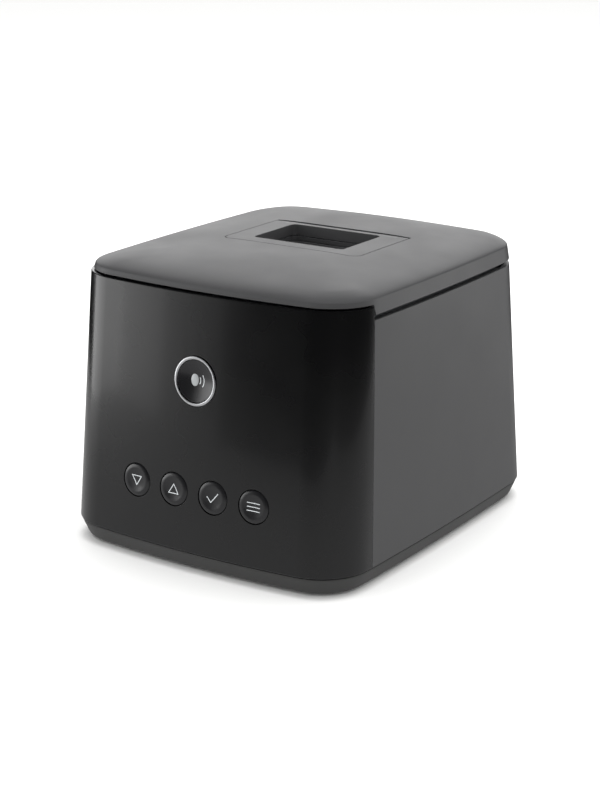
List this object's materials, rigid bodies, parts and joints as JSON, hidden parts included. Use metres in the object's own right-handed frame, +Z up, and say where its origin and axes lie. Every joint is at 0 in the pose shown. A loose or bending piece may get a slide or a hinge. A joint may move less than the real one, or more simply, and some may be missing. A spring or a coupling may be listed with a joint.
{
  "type": "cpap machine",
  "caption": "Tapered bedside air machine with a wrap-round glossy front, round push buttons, a hinged lid with a folding carry handle, a water chamber and a blower.",
  "frame": {"origin": "on the surface it stands on, under the middle of its box", "axes": "+Z up; the front panel faces -Y; +X is to the right seen from the front"},
  "size_m": [0.1776, 0.2133, 0.1515],
  "materials": {
    "satin_charcoal": "satin moulded ABS, fine spark texture",
    "gloss_black": "high-gloss tinted polycarbonate",
    "tray_grey": "moulded ABS, matt",
    "key_black": "satin moulded keycap",
    "bright_chrome": "bright plated ring",
    "steel": "zinc-plated or stainless steel",
    "aluminium": "die-cast aluminium, ground face",
    "inner_grey": "moulded polypropylene, matt",
    "lining_grey": "moulded ABS, matt",
    "clear_plastic": "clear moulded polycarbonate",
    "seal_blue": "moulded silicone rubber",
    "rubber_black": "moulded rubber, matt",
    "socket_black": "moulded nylon, matt",
    "silicone_grey": "moulded silicone rubber",
    "port_grey": "moulded polypropylene",
    "board_green": "solder-masked glass-epoxy board",
    "lens_white": "white moulded polycarbonate",
    "foam_grey": "open-cell filter foam",
    "ribbon_grey": "flat ribbon cable",
    "transformer_tape": "ferrite core wound with yellow tape",
    "capacitor_sleeve": "shrink sleeve over an aluminium can"
  },
  "bodies": {
    "housing": {"body_shell": "satin_charcoal", "filter_cover": "satin_charcoal", "front_panel": "gloss_black", "display_module": "gloss_black", "base_tray": "tray_grey", "start_ring": "bright_chrome", "base_screw_fl": "steel", "base_screw_fr": "steel", "base_screw_rl": "steel", "base_screw_rr": "steel", "heater_spring_1": "steel", "heater_spring_2": "steel", "heater_spring_3": "steel", "chamber_plate": "steel", "blower_motor": "steel", "inlet_pin_live": "steel", "inlet_pin_earth": "steel", "inlet_pin_neutral": "steel", "hinge_pin_left": "steel", "hinge_pin_right": "steel", "chassis": "inner_grey", "blower_base": "inner_grey", "blower_cover": "inner_grey", "chamber_tub": "clear_plastic", "chamber_cover": "clear_plastic", "chamber_seal": "seal_blue", "foot_fl": "rubber_black", "foot_fr": "rubber_black", "foot_rl": "rubber_black", "foot_rr": "rubber_black", "blower_mount_1": "rubber_black", "blower_mount_2": "rubber_black", "blower_mount_3": "rubber_black", "power_inlet": "socket_black", "keypad_membrane": "silicone_grey", "inlet_seal": "silicone_grey", "air_duct": "silicone_grey", "control_board": "board_green", "main_board": "board_green", "power_board": "board_green", "filter_pad": "foam_grey", "panel_ribbon": "ribbon_grey", "power_transformer": "transformer_tape", "power_capacitor": "capacitor_sleeve"},
    "lid": {"lid_shell": "satin_charcoal", "lid_liner": "lining_grey", "hose_port": "port_grey", "port_seal": "seal_blue", "handle_pin_left": "steel", "handle_pin_right": "steel"},
    "handle": {"handle_frame": "satin_charcoal"},
    "start_key": {"start_button": "key_black", "start_lens": "lens_white"},
    "key_down": {"button_down": "key_black"},
    "key_up": {"button_up": "key_black"},
    "key_ok": {"button_ok": "key_black"},
    "key_menu": {"button_menu": "key_black"},
    "heater": {"heater_plate": "aluminium"},
    "rotor": {"impeller": "lens_white", "motor_shaft": "steel"}
  },
  "joints": [
    {"name": "lid_hinge", "type": "hinge", "parent": "housing", "child": "lid", "pos_m": [0, 0.0906, 0.1368], "axis": [-1, 0, 0], "range_deg": [0, 66]},
    {"name": "handle_fold", "type": "hinge", "parent": "lid", "child": "handle", "pos_m": [0, 0.034, 0.1485], "axis": [-1, 0, 0], "range_deg": [0, 88]},
    {"name": "start_press", "type": "slide", "parent": "housing", "child": "start_key", "axis": [0, 0.9958, -0.0916], "range_m": [0, 0.0005], "stiffness_N_per_m": 800, "springref_m": -0.0006},
    {"name": "down_press", "type": "slide", "parent": "housing", "child": "key_down", "axis": [0.067, 0.9936, -0.0914], "range_m": [0, 0.0005], "stiffness_N_per_m": 800, "springref_m": -0.0006},
    {"name": "up_press", "type": "slide", "parent": "housing", "child": "key_up", "axis": [0.0208, 0.9956, -0.0916], "range_m": [0, 0.0005], "stiffness_N_per_m": 800, "springref_m": -0.0006},
    {"name": "ok_press", "type": "slide", "parent": "housing", "child": "key_ok", "axis": [-0.0254, 0.9955, -0.0916], "range_m": [0, 0.0005], "stiffness_N_per_m": 800, "springref_m": -0.0006},
    {"name": "menu_press", "type": "slide", "parent": "housing", "child": "key_menu", "axis": [-0.0716, 0.9932, -0.0914], "range_m": [0, 0.0005], "stiffness_N_per_m": 800, "springref_m": -0.0006},
    {"name": "heater_press", "type": "slide", "parent": "housing", "child": "heater", "axis": [0, 0, -1], "range_m": [0, 0.0015], "stiffness_N_per_m": 3000, "springref_m": -0.0015, "deforming": ["heater_spring_1", "heater_spring_2", "heater_spring_3"]},
    {"name": "impeller_spin", "type": "hinge", "parent": "housing", "child": "rotor", "pos_m": [-0.03, 0.022, 0.03], "axis": [0, 0, 1], "continuous": true}
  ]
}
